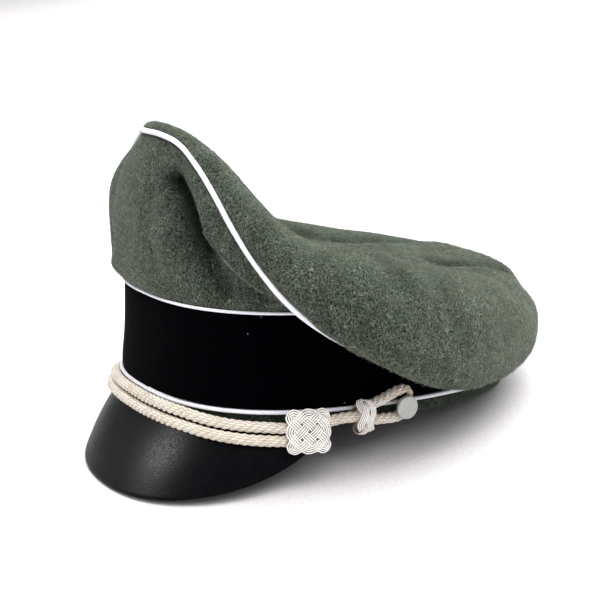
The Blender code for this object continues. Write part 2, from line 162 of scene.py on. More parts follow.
bpy.ops.object.camera_add()
camera = bpy.context.object
camera.name = "camera"
camera.data.lens = LENS
camera.data.sensor_width = 36.0
camera.data.clip_start = 0.01
camera.matrix_world = rest @ camera_place
bpy.context.scene.camera = camera
print("camera height, mm:", round(1000 * camera.matrix_world.translation.z))

# %% [markdown]
# ## A helper for node materials
# Every finish below is a small node tree on a Principled shader. One function adds a node, sets its
# sockets and attributes, and links it to the nodes before it, so a tree reads from top to bottom.
# The size of a pattern is always the real width of its lumps in millimetres.

# %% Add nodes
NOISE = "ShaderNodeTexNoise"
RAMP = "ShaderNodeValToRGB"
MIX = "ShaderNodeMix"
BUMP = "ShaderNodeBump"
MULTIPLY = {"data_type": "RGBA", "blend_type": "MULTIPLY", 0: 1.0}


def add_node(tree, kind, settings=None, links=None, output=None):
    node = tree.nodes.new(kind)
    for key, value in (settings or {}).items():
        if key == "stops":
            ramp = node.color_ramp
            while len(ramp.elements) < len(value):
                ramp.elements.new(0.5)
            for element, (place, colour) in zip(ramp.elements, value):
                element.position = place
                element.color = linear(colour)
        elif isinstance(key, int) or key in node.inputs:
            node.inputs[key].default_value = value
        else:
            setattr(node, key, value)
    for key, source in (links or {}).items():
        tree.links.new(source, node.inputs[key])
    if output is None:
        # The colour that a mix node gives is its third output
        output = 2 if kind == MIX else 0
    return node.outputs[output]


def new_material(name, **constants):
    # A shader with its constants, a function that adds nodes to it, and the object's coordinates
    made = bpy.data.materials.new(name)
    made.use_nodes = True
    surface = made.node_tree.nodes["Principled BSDF"]
    for socket, value in constants.items():
        surface.inputs[socket.replace("_", " ")].default_value = value
    add = partial(add_node, made.node_tree)
    return made, surface, add, add("ShaderNodeTexCoord", output="Object")


def connect(surface, **sources):
    for socket, source in sources.items():
        surface.id_data.links.new(source, surface.inputs[socket.replace("_", " ")])


def scale_for(size):
    # The scale of a pattern whose lumps are size millimetres across
    return 1.0 / (size * MM)


print("scale of a pattern with 2 mm lumps:", scale_for(2.0))

# %% [markdown]
# ## Floor and light
# The cap lies on pale canvas in a bright room. A large floor fills the view, and its weave is only
# just seen. One wide lamp above and behind gives the soft top light, a weaker one stands to the
# side, a small one in front puts the long gleam on the peak, and the white room fills the rest.

# %% Floor
FLOOR_SIZE = 14.0
bpy.ops.mesh.primitive_plane_add(size=FLOOR_SIZE, location=(0.0, 0.0, 0.0))
floor = bpy.context.object
floor.name = "floor"
# Bleached canvas: an even, matt, faintly warm white
canvas, surface, add, place = new_material("bleached_canvas", Roughness=0.9)
threads = add(NOISE, {"Scale": scale_for(2.2), "Roughness": 0.6}, {"Vector": place})
shade = add(RAMP, {"stops": ((0.3, "#dddadb"), (0.7, "#e9e6e7"))}, {"Fac": threads})
weave = add(BUMP, {"Distance": 0.25 * MM, "Strength": 0.35}, {"Height": threads})
connect(surface, Base_Color=shade, Normal=weave)
floor.data.materials.append(canvas)
print("floor, m:", floor.dimensions.x)

# %% Lamps and surroundings
ROOM_LIGHT = 0.68
LAMPS = (
    # name, place, size, watts
    ("top_lamp", (-0.4, 0.9, 2.1), 4.2, 142.0),
    ("side_lamp", (1.3, 0.1, 1.7), 1.8, 22.0),
    ("peak_lamp", (-0.80, -1.57, 1.10), 0.3, 76.0),
)
for name, place, size, watts in LAMPS:
    aim = (Vector((0.0, 0.0, 0.05)) - Vector(place)).to_track_quat("-Z", "Y").to_euler()
    bpy.ops.object.light_add(type="AREA", location=place, rotation=aim)
    lamp = bpy.context.object
    lamp.name = name
    lamp.data.shape = "DISK"
    lamp.data.size = size
    lamp.data.energy = watts
    # The peak's lamp only makes its gleam, so that it doesn't flatten the wool
    lamp.visible_diffuse = name != "peak_lamp"
room = bpy.data.worlds.new("bright_room")
room.use_nodes = True
room.node_tree.nodes["Background"].inputs["Color"].default_value = linear("#f7f7fb")
room.node_tree.nodes["Background"].inputs["Strength"].default_value = ROOM_LIGHT
bpy.context.scene.world = room
bpy.context.scene.view_settings.view_transform = "Standard"
print("lamps:", len(LAMPS))

# %% [markdown]
# ## Napped wool
# The crown is thick wool cloth, dyed in the fleece: teal, olive, beige and dark fibres are carded
# together and the face is then brushed up. From half a metre that reads as a fine mottle about a
# millimetre across with soft lighter and darker clouds in it, and a slight sheen along the edges
# where light catches the nap.

# %% Wool material
CURL_BEND = (0.004, 0.004, 0.004)


def wool_material(name, fleece):
    # Wool scatters light evenly and only glows at its edges, so it is rough with a pale sheen
    made, surface, add, place = new_material(name, Roughness=0.95, Specular_IOR_Level=0.04,
                                             Sheen_Weight=0.35, Sheen_Roughness=0.55)
    surface.inputs["Sheen Tint"].default_value = linear("#aab39c")
    place = add("ShaderNodeMapping", {"Scale": (1.0, 1.0, 0.6)}, {"Vector": place})
    # A pattern of 4 mm waves bends the others, so that their lumps become short curled fibres
    curl = add(NOISE, {"Scale": scale_for(3.846), "Detail": 1.0}, {"Vector": place}, output="Color")
    curled = add("ShaderNodeVectorMath", {"operation": "MULTIPLY_ADD", 1: CURL_BEND}, {0: curl, 2: place})
    fibre = add(NOISE, {"Scale": scale_for(0.9), "Detail": 3.0, "Roughness": 0.75}, {"Vector": curled})
    dye = add(NOISE, {"Scale": scale_for(2.1), "Roughness": 0.75}, {"Vector": curled})
    colours = add(RAMP, {"stops": fleece[0]}, {"Fac": fibre})
    tints = add(RAMP, {"stops": fleece[1]}, {"Fac": dye})
    wool_colour = add(MIX, {"data_type": "RGBA", "blend_type": "MIX", 0: 0.5}, {6: colours, 7: tints})
    # Slow clouds and the gaps between single fibres darken it, and deep folds are given painted shade
    cloud = add(NOISE, {"Scale": scale_for(14.0), "Detail": 3.0, "Roughness": 0.6}, {"Vector": place})
    fleck = add(NOISE, {"Scale": scale_for(0.6), "Detail": 1.0, "Roughness": 0.8}, {"Vector": curled})
    fold = add("ShaderNodeAttribute", {"attribute_name": "fold_shade"}, output="Fac")
    for source, stops in (
        (cloud, ((0.3, "#a8a8a8"), (0.7, "#ffffff"))),
        (fleck, ((0.40, "#3a3e39"), (0.56, "#ffffff"))),
        (fold, ((0.0, "#ffffff"), (1.0, "#0c0e0c"))),
    ):
        shade = add(RAMP, {"stops": stops}, {"Fac": source})
        wool_colour = add(MIX, MULTIPLY, {6: wool_colour, 7: shade})
    nap = add(NOISE, {"Scale": scale_for(0.8), "Roughness": 0.7}, {"Vector": curled})
    raised = add(BUMP, {"Distance": 0.9 * MM, "Strength": 0.8}, {"Height": nap})
    connect(surface, Base_Color=wool_colour, Normal=raised)
    return made


FLEECE = (((0.34, "#242c28"), (0.46, "#465049"), (0.56, "#657062"), (0.68, "#abae9e")),
          ((0.34, "#364f4d"), (0.48, "#53645a"), (0.60, "#6b6b51"), (0.72, "#8d8b79")))
wool = wool_material("napped_wool_cloth", FLEECE)
print("wool material:", wool.name, len(wool.node_tree.nodes), "nodes")

# %% [markdown]
# ## The crown
# The crown is two pieces of wool sewn together at the white piping: a side that stands up at the
# front and folds under at the back, and a slack top. The solid model already has their form, so
# each is copied, its triangles joined into quads and smoothed by subdivision. Folds are then
# pressed in one by one, each along a short given path, because soft cloth shows sharp creases
# beside wide round bulges.

# %% Copy and smooth a cloth solid
SHARP_ANGLE = math.radians(70)
SEAM_CREASE = 0.8


def smooth_copy(node, name, levels):
    piece = bpy.data.objects.new(name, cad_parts[node].data.copy())
    bpy.context.collection.objects.link(piece)
    select_only(piece)
    bpy.ops.object.mode_set(mode="EDIT")
    bpy.ops.mesh.select_all(action="SELECT")
    bpy.ops.mesh.customdata_custom_splitnormals_clear()
    bpy.ops.mesh.remove_doubles(threshold=0.00002)
    bpy.ops.mesh.tris_convert_to_quads(face_threshold=SHARP_ANGLE, shape_threshold=SHARP_ANGLE)
    # Cut edges are creased, or smoothing would pull them back from the seams
    bpy.ops.mesh.select_mode(type="EDGE")
    bpy.ops.mesh.select_all(action="DESELECT")
    bpy.ops.mesh.edges_select_sharp(sharpness=SHARP_ANGLE)
    bpy.ops.transform.edge_crease(value=SEAM_CREASE)
    bpy.ops.object.mode_set(mode="OBJECT")
    finer = piece.modifiers.new("finer", "SUBSURF")
    finer.levels = finer.render_levels = levels
    apply_all(piece)
    bpy.ops.object.shade_smooth()
    return piece


side = smooth_copy("side_panel", "wool_side", 3)
top = smooth_copy("top_panel", "wool_top", 3)
print("crown vertices:", len(side.data.vertices), len(top.data.vertices))

# %% Press folds into the crown
# Each path is a list of angle, out and up on the band. Depth is pressed in, and a ridge is negative.
# Rise is the steepness of the push: 0 is level and 90 is straight down. Shade is how much painted shade the
# fold gets.
FOLDS = (
    # piece, path, half width, depth, rise, shade
    (side, ((15, -4, 109), (18, -4, 103), (21, -3, 95), (24, -1, 87), (26, -2, 80), (29, 0, 71), (33, 2, 60)),
     5.5, 11.0, 0, 1.0),
    (side, ((21, -3, 97), (25, -1, 90), (30, 1, 82), (35, 2, 76), (40, 4, 68), (46, 2, 57)),
     5.0, -5.5, 0, 0.0),
    (side, ((8, 2, 124), (9, 4, 98), (10, 4, 70)), 7.0, 1.6, 0, 0.15),
    (side, ((-12, 1, 122), (-16, 3, 96), (-18, 4, 74)), 7.0, 2.0, 0, 0.1),
    (side, ((-26, 1, 104), (-33, 4, 80), (-42, 6, 62)), 5.0, 3.0, 0, 0.4),
    (side, ((-50, 0, 57), (-40, 0, 57), (-30, 0, 57), (-20, 0, 57), (-10, 0, 57), (0, 0, 57), (10, 0, 57)),
     5.5, -3.5, 0, 0.0),
    (top, ((-114, -9, 60), (-123, -20, 56), (-134, -24, 54), (-148, -21, 55), (-159, -15, 57)),
     9.0, 4.0, 90, 0.6),
    (top, ((126, -88, 66), (157, -81, 64), (173, -57, 61), (178, -40, 60)), 9.0, -2.5, 90, 0.0),
    (top, ((150, -44, 60), (145, -37, 59), (147, -27, 58), (149, -16, 58), (148, -5, 56)),
     5.0, 3.5, 90, 0.5),
    (top, ((168, 11, 48), (150, 11, 48), (136, 13, 48)), 8.0, 3.0, 60, 0.0),
    (top, ((76, 13, 79), (77, 26, 75), (78, 31, 68)), 7.0, 2.2, 60, 0.25),
    (top, ((60, 25, 50), (65, 29, 42), (75, 30, 31), (90, 30, 17), (104, 28, 9)), 5.0, -2.5, -60, 0.0),
    (top, ((112, 22, 40), (120, 18, 46), (128, 8, 52)), 9.0, 2.0, 60, 0.2),
    (top, ((45, 3, 98), (70, 0, 80), (100, -6, 67)), 8.0, -1.5, 90, 0.0),
    (top, ((-60, 20, 74), (-74, 26, 60), (-86, 30, 46)), 10.0, 2.6, 45, 0.3),
)
# The far front corner of the crown sags: both panels and the piping between them go together
SAG = (((-14, -7, 129), (-28, -2, 112), (-38, 6, 92)), 12.0, 2.5, 15, 0.0)
# A fold's pull is too weak to count beyond this many half widths
FOLD_REACH = 2.2


def nearest_on_path(point, path):
    best = math.inf
    for start, run, square in path:
        share = min(max((point - start).dot(run) / square, 0.0), 1.0)
        best = min(best, (point - start - run * share).length_squared)
    return best


def press_fold(piece, path, half_width, depth, rise, shade):
    # Both faces of the cloth move the same way, so the wall keeps its thickness
    places = [on_cap(*row) for row in path]
    runs = [(a, b - a, (b - a).length_squared) for a, b in zip(places, places[1:])]
    angle, _, _ = path[len(path) // 2]
    outward = Vector((math.sin(facing(angle)), -math.cos(facing(angle)), 0.0))
    steepness = math.radians(rise)
    push = rest.to_3x3() @ (outward * math.cos(steepness) + Vector((0, 0, math.sin(steepness))))
    low = [min(p[i] for p in places) - FOLD_REACH * half_width * MM for i in range(3)]
    high = [max(p[i] for p in places) + FOLD_REACH * half_width * MM for i in range(3)]
    attributes = piece.data.attributes
    # Each fold stores painted shade on the points it moves, darkest along its path
    painted_shade = attributes.get("fold_shade") or attributes.new("fold_shade", "FLOAT", "POINT")
    moved = 0
    for vertex in piece.data.vertices:
        x, y, z = vertex.co
        if low[0] < x < high[0] and low[1] < y < high[1] and low[2] < z < high[2]:
            weight = math.exp(-nearest_on_path(vertex.co, runs) / (half_width * MM) ** 2)
            vertex.co -= push * depth * MM * weight
            value = painted_shade.data[vertex.index]
            value.value = max(value.value, shade * weight)
            moved += 1
    return moved


for piece, *fold in FOLDS:
    print(piece.name, "fold moves", press_fold(piece, *fold))
for piece in (side, top):
    print(piece.name, "sag moves", press_fold(piece, *SAG))

# %% [markdown]
# Cloth is never quite even. A slow, shallow wave over the whole crown takes away the last of the
# machine smoothness. It moves both faces of the cloth together, so the wall keeps its thickness.

# %% Add a slow unevenness
# Without a seed the noise module starts from the clock, and each run would give another cap
noise.seed_set(3)


def soften(piece, size, height):
    for vertex in piece.data.vertices:
        vertex.co += noise.noise_vector(vertex.co / (size * MM)) * height * MM


soften(side, 24.0, 0.7)
soften(top, 30.0, 0.9)
dress(side, wool, ["side_panel"])
dress(top, wool, ["top_panel"])

# %% [markdown]
# ## The wool rim below the band
# A narrow strip of the same wool closes the band at the bottom, behind the cords. It is pressed flat,
# and its fleece colours are painted darker, partly for the pressed nap and partly as painted shade from the
# cords above it.

# %% Wool rim
# Painted shade: the crown's fleece colours made darker for the strip that lies in the cords' shade
rim_wool_painted_shade = wool_material("flat_wool_strip_painted_shade", (
    ((0.33, "#18201b"), (0.46, "#2b3830"), (0.56, "#3c4a3e"), (0.70, "#5f6a58")),
    ((0.34, "#1f302c"), (0.48, "#33423a"), (0.60, "#44493a"), (0.72, "#56594a"))))
rim = smooth_copy("band_welt", "wool_rim", 2)
dress(rim, rim_wool_painted_shade, ["band_welt"])

# %% [markdown]
# ## The velvet band
# The band is covered in black cotton velvet. Its pile swallows nearly all light and only glows
# faintly where it is seen edge on, which is what a sheen layer does. It is stretched over a stiff
# band, so it keeps the solid's shallow bulge, and a few specks of lint show on it.

# %% Velvet
velvet, surface, add, place = new_material("black_cotton_velvet", Roughness=0.9, Specular_IOR_Level=0.01,
                                           Sheen_Weight=0.012, Sheen_Roughness=0.35)
pile = add(NOISE, {"Scale": scale_for(0.8), "Detail": 3.0, "Roughness": 0.6}, {"Vector": place})
black = add(RAMP, {"stops": ((0.35, "#000001"), (0.65, "#020104"))}, {"Fac": pile})
# A cell of 14 mm holds one speck of lint at its middle
lint = add("ShaderNodeTexVoronoi", {"Scale": scale_for(14.286)}, {"Vector": place})
specks = add(RAMP, {"stops": ((0.025, "#9a98a0"), (0.04, "#000000"))}, {"Fac": lint})
with_lint = add(MIX, {"data_type": "RGBA", "blend_type": "ADD", 0: 0.25}, {6: black, 7: specks})
raised = add(BUMP, {"Distance": 0.4 * MM, "Strength": 0.5}, {"Height": pile})
connect(surface, Base_Color=with_lint, Normal=raised)
band = smooth_copy("band", "velvet_band", 2)
dress(band, velvet, ["band"])

# %% [markdown]
# ## White pipings
# A piping is a bias strip of smooth white cloth folded round a thin cord and caught in the seam.
# The crown piping's line is taken from the solid ring: the middle of each of its sections. The two
# band pipings follow the band's oval. Each line is joined by one smooth closed curve, and it is drawn
# a little fuller than the solid so that no gap shows beside the cloth.

# %% Piping material
# Bleached cotton cloth: white, matt, with a thread only just too fine to see
piping_cloth, surface, add, place = new_material("white_piping_cloth", Roughness=0.6, Sheen_Weight=0.15)
shading = add(NOISE, {"Scale": scale_for(1.2), "Roughness": 0.6}, {"Vector": place})
thread = add(NOISE, {"Scale": scale_for(0.45), "Detail": 1.0, "Roughness": 0.6}, {"Vector": place})
whites = add(RAMP, {"stops": ((0.3, "#dcdbe4"), (0.7, "#f2f1f6"))}, {"Fac": shading})
raised = add(BUMP, {"Distance": 0.12 * MM, "Strength": 0.4}, {"Height": thread})
connect(surface, Base_Color=whites, Normal=raised)
print("piping material:", piping_cloth.name)

# %% Pipings
RING_SECTIONS = 48
PIPING_SIDES = 12


def ring_middles(node):
    # The middle of each section of a solid ring, in order round the cap
    groups = [[] for _ in range(RING_SECTIONS)]
    inverse = rest.inverted()
    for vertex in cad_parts[node].data.vertices:
        place = inverse @ vertex.co
        share = math.degrees(math.atan2(place.x, -place.y)) / 360.0 % 1.0
        groups[round(share * RING_SECTIONS) % RING_SECTIONS].append(vertex.co)
    return [sum(group, Vector()) / len(group) for group in groups]


def smooth_ring(name, points, radius, sides):
    # One closed tube through the points
    curve = bpy.data.curves.new(name, "CURVE")
    curve.dimensions = "3D"
    curve.bevel_depth = radius * MM
    curve.bevel_resolution = sides // 2 - 2
    curve.resolution_u = 5
    spline = curve.splines.new("BEZIER")
    spline.bezier_points.add(len(points) - 1)
    for knot, point in zip(spline.bezier_points, points):
        knot.co = point
        knot.handle_left_type = knot.handle_right_type = "AUTO"
    spline.use_cyclic_u = True
    piece = bpy.data.objects.new(name, curve)
    bpy.context.collection.objects.link(piece)
    select_only(piece)
    bpy.ops.object.convert(target="MESH")
    bpy.ops.object.shade_smooth()
    return piece


def band_ring(out, up):
    return [on_cap(360.0 * i / RING_SECTIONS, out, up) for i in range(RING_SECTIONS)]


PIPINGS = (
    # node, name, middle line, radius
    ("lower_band_piping", "piping_lower", band_ring(-0.5, 0.0), 1.05),
    ("upper_band_piping", "piping_upper", band_ring(-2.1, 49.5), 0.8),
    ("crown_piping", "piping_crown", ring_middles("crown_piping"), 1.35),
)
for node, name, middles, radius in PIPINGS:
    piping = smooth_ring(name, middles, radius, PIPING_SIDES)
    if node == "crown_piping":
        press_fold(piping, *SAG)
    dress(piping, piping_cloth, [node])

# %% [markdown]
# ## The peak
# The peak is black leather pressed over a former. Its face has a fine pebble grain that breaks the
# light into a soft satin gleam. The grain is a field of cells: each one is smooth in its middle and
# dull in the groove round it.

# %% Peak
leather, surface, add, place = new_material("pressed_black_leather", Specular_IOR_Level=0.045)
# The real grain is finer than a point of the picture, so its cells are drawn 0.7 mm wide
pebbles = add("ShaderNodeTexVoronoi", {"feature": "SMOOTH_F1", "Scale": scale_for(0.6667), "Smoothness": 0.5},
              {"Vector": place})
dye = add(NOISE, {"Scale": scale_for(5.0), "Roughness": 0.6}, {"Vector": place})
blacks = add(RAMP, {"stops": ((0.3, "#040306"), (0.7, "#09080b"))}, {"Fac": dye})
polish = add("ShaderNodeMapRange", {"To Min": 0.20, "To Max": 0.58}, {"Value": pebbles})
raised = add(BUMP, {"Distance": 0.13 * MM, "Strength": 0.5}, {"Height": pebbles})
connect(surface, Base_Color=blacks, Roughness=polish, Normal=raised)
peak = smooth_copy("peak", "leather_peak", 2)
dress(peak, leather, ["peak"])

# %% [markdown]
# ## Twisted cords
# The chin cord is rope: four strands laid together, each of them five fine yarns. Four curves wind
# round the cord's route, and each carries an outline with five lobes, so the yarns come from the
# outline and the twist from the winding. The lay is 16 mm long, so a strand shows every 4 mm.

# %% Cord material
# Unbleached cotton: cream and matt, a little browned by handling, with shaded grooves
cord_cotton, surface, add, place = new_material("cream_cotton_cord", Roughness=0.75, Sheen_Weight=0.25,
                                                Sheen_Roughness=0.4)
tone = add(NOISE, {"Scale": scale_for(6.0), "Detail": 3.0, "Roughness": 0.6}, {"Vector": place})
handling = add(NOISE, {"Scale": scale_for(13.0), "Roughness": 0.6}, {"Vector": place})
twist = add(NOISE, {"Scale": scale_for(0.5), "Detail": 1.0, "Roughness": 0.6}, {"Vector": place})
# Painted shade: the hollows between yarns, found by pointiness, are multiplied darker
hollow = add("ShaderNodeNewGeometry", output="Pointiness")
cord_colour = add(RAMP, {"stops": ((0.30, "#dfd6c2"), (0.48, "#f3ede0"), (0.72, "#fbf8f1"))}, {"Fac": tone})
for source, stops in (
    (handling, ((0.60, "#ffffff"), (0.74, "#dcb596"))),
    (hollow, ((0.41, "#b0a491"), (0.49, "#ffffff"))),
):
    shade = add(RAMP, {"stops": stops}, {"Fac": source})
    cord_colour = add(MIX, MULTIPLY, {6: cord_colour, 7: shade})
raised = add(BUMP, {"Distance": 0.15 * MM, "Strength": 0.4}, {"Height": twist})
connect(surface, Base_Color=cord_colour, Normal=raised)
print("cord material:", cord_cotton.name)

# %% Routes of the cords
UPPER_ROUTE = (
    (0, 2.9, -2.6), (14, 2.9, -2.7), (22, 2.8, -3.3), (30, 2.6, -5.0), (38, 2.6, -6.2),
    (46, 3.1, -6.6), (52, 4.2, -6.7), (57, 4.8, -6.0), (62, 4.2, -4.6), (67, 3.6, -3.5),
    (72.5, 4.3, -3.2),
)
LOWER_ROUTE = (
    (0, 4.4, -8.7), (14, 4.4, -8.9), (24, 4.8, -9.7), (32, 5.3, -11.1), (40, 5.7, -12.1),
    (48, 6.0, -12.6), (57, 6.6, -12.8),
)
LOOP_ROUTE = (
    (74.0, 5.0, 0.2), (76.5, 4.4, 1.9), (80.5, 3.8, 4.0), (84.0, 3.5, 5.8), (87.5, 3.3, 7.3),
    (90.2, 3.0, 7.2), (91.6, 2.8, 4.9), (91.9, 2.7, 1.6), (91.4, 2.7, -2.2), (89.8, 2.7, -5.2),
    (87.0, 3.0, -6.5), (84.0, 3.3, -6.6), (80.5, 3.5, -6.3), (77.0, 4.2, -6.1), (74.0, 5.0, -6.3),
)
STEP = 0.5


def even_points(places, step):
    # Points at even steps on one smooth curve through the places
    curve = bpy.data.curves.new("route", "CURVE")
    curve.dimensions = "3D"
    curve.resolution_u = 24
    spline = curve.splines.new("BEZIER")
    spline.bezier_points.add(len(places) - 1)
    for knot, point in zip(spline.bezier_points, places):
        knot.co = point
        knot.handle_left_type = knot.handle_right_type = "AUTO"
    route = bpy.data.objects.new("route", curve)
    line = [vertex.co.copy() for vertex in route.to_mesh().vertices]
    bpy.data.objects.remove(route)
    reach = [0.0]
    for a, b in zip(line, line[1:]):
        reach.append(reach[-1] + (b - a).length)
    count = round(reach[-1] / (step * MM))
    points, i = [], 0
    for k in range(count + 1):
        distance = reach[-1] * k / count
        while i < len(line) - 2 and reach[i + 1] < distance:
            i += 1
        points.append(line[i].lerp(line[i + 1], (distance - reach[i]) / (reach[i + 1] - reach[i])))
    return points, reach[-1] * 1000


def both_sides(rows):
    return [(-angle, out, up) for angle, out, up in reversed(rows[1:])] + list(rows)


def route_points(rows, side_sign=1):
    return even_points([on_cap(side_sign * angle, out, up) for angle, out, up in rows], STEP)


upper_points, upper_length = route_points(both_sides(UPPER_ROUTE))
lower_points, lower_length = route_points(both_sides(LOWER_ROUTE))
print("cord lengths, mm:", round(upper_length), round(lower_length))

# %% Lay the strands
STRANDS = 4
YARNS = 5
LAY = 16.0
STRAND_RADIUS = 1.32
STRAND_OUT = 1.6
LOBE_POINTS = 4
LOBE_DEPTH = 0.22
YARN_LAY = 9.0
# The strands wind to the left, so the lay leans like the middle of an S
WIND = -1


def yarn_outline(radius):
    # One strand's section: five yarns side by side round it
    curve = bpy.data.curves.new("yarn_outline", "CURVE")
    curve.dimensions = "2D"
    spline = curve.splines.new("POLY")
    count = YARNS * LOBE_POINTS
    spline.points.add(count - 1)
    for i, point in enumerate(spline.points):
        angle = math.tau * i / count
        size = radius * MM * (1.0 - LOBE_DEPTH * abs(math.cos(0.5 * YARNS * angle)) ** 3)
        point.co = (size * math.cos(angle), size * math.sin(angle), 0.0, 1.0)
    spline.use_cyclic_u = True
    outline = bpy.data.objects.new("yarn_outline", curve)
    bpy.context.collection.objects.link(outline)
    return outline


def lay_cord(name, points, widths=None):
    outline = yarn_outline(STRAND_RADIUS)
    curve = bpy.data.curves.new(name, "CURVE")
    curve.dimensions = "3D"
    curve.bevel_mode = "OBJECT"
    curve.bevel_object = outline
    curve.use_fill_caps = True
    turn_to_cap = rest.to_3x3()
    inverse = rest.inverted()
    for strand in range(STRANDS):
        spline = curve.splines.new("POLY")
        spline.points.add(len(points) - 1)
        for i, point in enumerate(points):
            ahead = (points[min(i + 1, len(points) - 1)] - points[max(i - 1, 0)]).normalized()
            outward = turn_to_cap @ (inverse @ point).xy.to_3d()
            outward = (outward - ahead * outward.dot(ahead)).normalized()
            across = ahead.cross(outward)
            width = 1.0 if widths is None else widths[i]
            wind = math.tau * (WIND * i * STEP / LAY + strand / STRANDS)
            away = (outward * math.cos(wind) + across * math.sin(wind)) * STRAND_OUT * MM * width
            spline.points[i].co = (*(point + away), 1.0)
            spline.points[i].radius = width
            spline.points[i].tilt = -WIND * math.tau * i * STEP / YARN_LAY
    piece = bpy.data.objects.new(name, curve)
    bpy.context.collection.objects.link(piece)
    select_only(piece)
    bpy.ops.object.convert(target="MESH")
    bpy.ops.object.shade_smooth()
    bpy.data.objects.remove(outline)
    return piece


for name, points in (("chin_cord_upper", upper_points), ("chin_cord_lower", lower_points)):
    cord = lay_cord(name + "_laid", points)
    dress(cord, cord_cotton, [name])

# %% [markdown]
# At each side the cord opens into a loop that goes round the button. It is pulled thin where it
# passes behind the button, so its strands draw together there.

# %% Button loops
LOOP_LEG_WIDTH = 0.97
LOOP_BACK_WIDTH = 0.55
LOOP_THICK_ANGLE = 88.0
LOOP_THIN_ANGLE = 91.2

for side_name, sign in (("left", 1), ("right", -1)):
    points, length = route_points(LOOP_ROUTE, sign)
    widths = []
    for point in points:
        place = rest.inverted() @ point
        angle = math.degrees(math.atan2(abs(place.x), -place.y))
        share = min(max((angle - LOOP_THICK_ANGLE) / (LOOP_THIN_ANGLE - LOOP_THICK_ANGLE), 0.0), 1.0)
        widths.append(LOOP_LEG_WIDTH + (LOOP_BACK_WIDTH - LOOP_LEG_WIDTH) * share)
    loop = lay_cord("button_loop_%s_laid" % side_name, points, widths)
    dress(loop, cord_cotton, ["button_loop_%s" % side_name])
    print("loop length, mm:", round(length))

# %% [markdown]
# ## Woven slide knots
# The large knot is a flat mat woven from a cord end of fine yarns that runs diagonally to and fro
# and passes over and under itself in turn, with four yarns side by side in every strand. The
# strands are laid out flat first and then bent onto a pillow, and a plain pillow fills the middle.

# %% Knot material
# Bleached cotton: nearly white and matt. Light doesn't reach between the yarns, so a stored value
# that is highest on top of each yarn darkens its sides
knot_cotton, surface, add, place = new_material("bleached_cotton_yarn", Roughness=0.7, Sheen_Weight=0.2)
tone = add(NOISE, {"Scale": scale_for(3.0), "Roughness": 0.6}, {"Vector": place})
height = add("ShaderNodeAttribute", {"attribute_name": "yarn_top"}, output="Fac")
twist = add(NOISE, {"Scale": scale_for(0.4), "Detail": 1.0, "Roughness": 0.6}, {"Vector": place})
bleached = add(RAMP, {"stops": ((0.3, "#f0ece2"), (0.65, "#fdfcf8"))}, {"Fac": tone})
gaps = add(RAMP, {"stops": ((0.60, "#776d5d"), (0.84, "#ffffff"))}, {"Fac": height})
woven = add(MIX, MULTIPLY, {6: bleached, 7: gaps})
raised = add(BUMP, {"Distance": 0.1 * MM, "Strength": 0.35}, {"Height": twist})
connect(surface, Base_Color=woven, Normal=raised)

# The filling is the same cotton, painted darker as painted shade deep inside the knot
core_cotton, surface, add, place = new_material("shaded_core_yarn", Roughness=0.9)
tone = add(NOISE, {"Scale": scale_for(1.5), "Roughness": 0.6}, {"Vector": place})
inner = add(RAMP, {"stops": ((0.3, "#aba28f"), (0.7, "#cfc7b5"))}, {"Fac": tone})
connect(surface, Base_Color=inner)
print("knot materials:", knot_cotton.name, core_cotton.name)

# %% Lay yarns side by side
LEAST_SQUEEZE = 0.45
CROWN_FALL = 1.2


def swing(angle, sharpness=0.9):
    # Between a sine and a straight to-and-fro, with round ends
    return math.asin(sharpness * math.sin(angle)) / math.asin(sharpness)


print("swing at an eighth of a turn:", round(swing(math.pi / 4), 2))


def yarn_band(name, strands, yarns, spacing, radius, tightest, surface_point):
    # Yarns laid side by side along closed flat strands and bent onto a surface. Where a strand
    # turns more sharply than the tightest radius, its yarns are squeezed together
    curve = bpy.data.curves.new(name, "CURVE")
    curve.dimensions = "3D"
    curve.bevel_depth = radius * MM
    curve.bevel_resolution = 1
    outward = []
    for (path, heights), yarn in ((strand, yarn) for strand in strands for yarn in range(yarns)):
        count = len(path)
        shift = (yarn - 0.5 * (yarns - 1)) * spacing
        spline = curve.splines.new("POLY")
        spline.points.add(count - 1)
        for i in range(count):
            before, here, after = path[i - 1], path[i], path[(i + 1) % count]
            ahead = (after - before).normalized()
            bend = (after - here).normalized() - (here - before).normalized()
            curvature = bend.length / max((after - here).length, 1e-9)
            squeeze = min(1.0, max(LEAST_SQUEEZE, 1.0 / (curvature * tightest + 1e-9)))
            beside = here + Vector((-ahead.y, ahead.x)) * shift * squeeze
            crown = 1.0 - (abs(shift) / (spacing * yarns)) ** 2 * CROWN_FALL
            middle = surface_point(beside, heights[i], crown)
            outward.append((middle, (surface_point(beside, heights[i] + 1.0, crown) - middle).normalized()))
            spline.points[i].co = (*middle, 1.0)
        spline.use_cyclic_u = True
    piece = bpy.data.objects.new(name, curve)
    bpy.context.collection.objects.link(piece)
    select_only(piece)
    bpy.ops.object.convert(target="MESH")
    bpy.ops.object.shade_smooth()
    # How near each point is to the top of its yarn, so that the gaps between yarns can be darker
    yarn_top = piece.data.attributes.new("yarn_top", "FLOAT", "POINT")
    sides = len(piece.data.vertices) // len(outward)
    for vertex in piece.data.vertices:
        middle, away = outward[vertex.index // sides]
        yarn_top.data[vertex.index].value = 0.5 + 0.5 * (vertex.co - middle).dot(away) / (radius * MM)
    return piece


# %% Pillows inside the knots
# Angle, out, up and lean
LARGE_KNOT_PLACE = (57.0, 7.2, -7.6, -12.0)
SMALL_KNOT_PLACE = (73.8, 5.6, -3.2, 0.0)
CORE_CUTS = 5
CORE_ROUNDNESS = 0.62


def knot_place(angle, out, up, lean, sign):
    turned = Euler((math.radians(lean), 0.0, facing(sign * angle)))
    return rest @ Matrix.Translation(band_place(sign * angle, out, up) * MM) @ turned.to_matrix().to_4x4()


